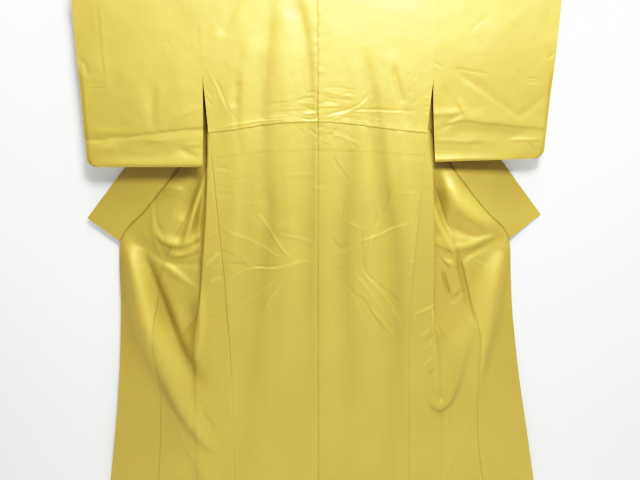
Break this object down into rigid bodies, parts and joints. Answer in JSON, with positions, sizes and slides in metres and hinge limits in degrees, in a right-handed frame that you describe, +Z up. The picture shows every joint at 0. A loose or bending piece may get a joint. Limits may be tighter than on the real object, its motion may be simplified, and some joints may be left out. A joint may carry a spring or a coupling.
{
  "type": "kimono on a hanger",
  "caption": "Plain lined kimono hung flat on a bar through its sleeves, back to the viewer, fronts and collar spread out to the sides, with a wire hook above the neck.",
  "frame": {"origin": "where the hook rests on a rail, at the top of the inside of its bend", "axes": "+Z up, +X to the right as one looks at the kimono's back, +Y away from that viewer, towards the wall behind"},
  "size_m": [1.3903, 0.0651, 1.6879],
  "materials": {
    "gold_silk": "plain silk crepe with a soft sheen, walls with their lining",
    "pale_wood": "smooth pale wood",
    "hook_steel": "plain bright wire"
  },
  "bodies": {
    "root": {"back_left": "gold_silk", "front_left": "gold_silk", "back_right": "gold_silk", "front_right": "gold_silk", "okumi_left": "gold_silk", "okumi_right": "gold_silk", "sleeve_left": "gold_silk", "sleeve_right": "gold_silk", "collar": "gold_silk", "over_collar": "gold_silk", "hanger_rod": "pale_wood", "hanger_hook": "hook_steel"}
  },
  "joints": []
}
